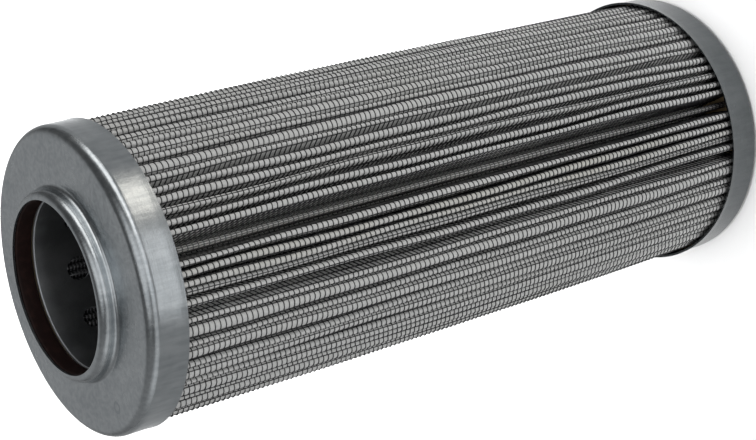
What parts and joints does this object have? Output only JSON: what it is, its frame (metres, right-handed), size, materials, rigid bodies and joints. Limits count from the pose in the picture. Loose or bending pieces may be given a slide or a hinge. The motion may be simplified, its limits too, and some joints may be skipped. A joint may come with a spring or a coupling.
{
  "type": "hydraulic filter element",
  "caption": "Pleated hydraulic filter cartridge: steel end caps, open raised collar with inner seal ring, wire mesh over white pleats, perforated core tube.",
  "frame": {"origin": "centre of the closed rear cap's flat outer face, which the element stands on", "axes": "+Z along the element's axis, from the closed rear cap to the open collar; +X towards the pack's side seam, which lies 2 degrees off it"},
  "size_m": [0.0686, 0.0686, 0.1801],
  "materials": {
    "front_cap_steel": "satin zinc-plated sheet steel",
    "rear_cap_steel": "satin zinc-plated sheet steel",
    "core_steel": "plain perforated sheet steel",
    "inner_wire": "bare woven wire",
    "coated_wire": "black coated woven wire",
    "cover_fleece": "white fleece",
    "coarse_fibre": "white glass fibre",
    "fine_fibre": "white glass fibre",
    "backing_fleece": "white fleece",
    "adhesive": "cured tan adhesive",
    "seal_rubber": "dark brown rubber"
  },
  "bodies": {
    "root": {"rear_end_cap": "rear_cap_steel", "rear_potting": "adhesive", "core_tube": "core_steel", "inner_mesh": "inner_wire", "backing_fleece": "backing_fleece", "fine_filter_layer": "fine_fibre", "prefilter_layer": "coarse_fibre", "cover_fleece": "cover_fleece", "outer_mesh": "coated_wire", "side_seam_bead": "adhesive", "front_potting": "adhesive", "seal_ring": "seal_rubber", "front_end_cap": "front_cap_steel"}
  },
  "joints": []
}
